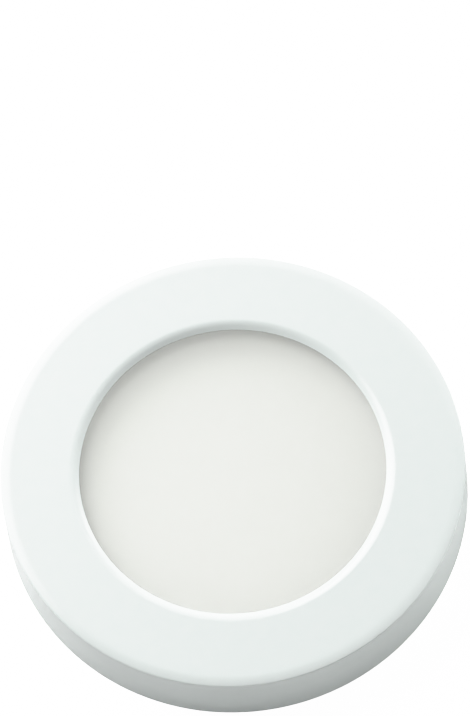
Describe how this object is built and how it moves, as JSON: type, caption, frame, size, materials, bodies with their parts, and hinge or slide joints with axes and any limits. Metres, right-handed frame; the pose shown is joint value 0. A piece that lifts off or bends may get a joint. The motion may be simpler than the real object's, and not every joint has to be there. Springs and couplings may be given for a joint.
{
  "type": "led button light",
  "caption": "Slim round surface-mounted LED light with a wide flat white bezel, a recessed frosted diffuser lit from its edge, and a back cover with keyholes.",
  "frame": {"origin": "centre of the flat back face, on the surface that the light is fixed to", "axes": "+Z out of the front face, the way the light shines; +X over the leads of the LED strip; +Y towards one keyhole"},
  "size_m": [0.07, 0.07, 0.011],
  "materials": {
    "gloss_white": "glossy white moulded plastic",
    "opal": "frosted opal acrylic",
    "clear_acrylic": "clear acrylic, dimpled on its back",
    "white_film": "matt white film",
    "grey_foam": "fine closed-cell foam",
    "sheet_aluminium": "plain pressed sheet",
    "screw_steel": "zinc plated",
    "strip_white": "white solder mask",
    "tape": "adhesive tape",
    "led_package": "white package with yellow phosphor",
    "red_insulation": "satin insulation",
    "black_insulation": "satin insulation",
    "pad_blue": "soft thermal pad",
    "board_green": "green solder mask",
    "black_package": "moulded epoxy",
    "ferrite": "dark ferrite",
    "capacitor_ceramic": "fired ceramic with tinned ends",
    "resistor_black": "coated ceramic with tinned ends",
    "terminal_white": "moulded nylon",
    "grommet_rubber": "soft black rubber",
    "satin_white": "fine satin moulded plastic"
  },
  "bodies": {
    "root": {"housing": "gloss_white", "diffuser": "opal", "light_guide": "clear_acrylic", "reflector_film": "white_film", "foam_pad": "grey_foam", "heat_tray": "sheet_aluminium", "tray_screws": "screw_steel", "led_strip": "strip_white", "strip_tape": "tape", "leds": "led_package", "red_lead": "red_insulation", "black_lead": "black_insulation", "thermal_pad": "pad_blue", "driver_board": "board_green", "bridge_rectifier": "black_package", "driver_chip": "black_package", "inductor": "ferrite", "capacitors": "capacitor_ceramic", "resistors": "resistor_black", "diode": "black_package", "terminal_block": "terminal_white", "cable_grommet": "grommet_rubber", "back_cover": "satin_white", "cover_screws": "screw_steel"}
  },
  "joints": []
}
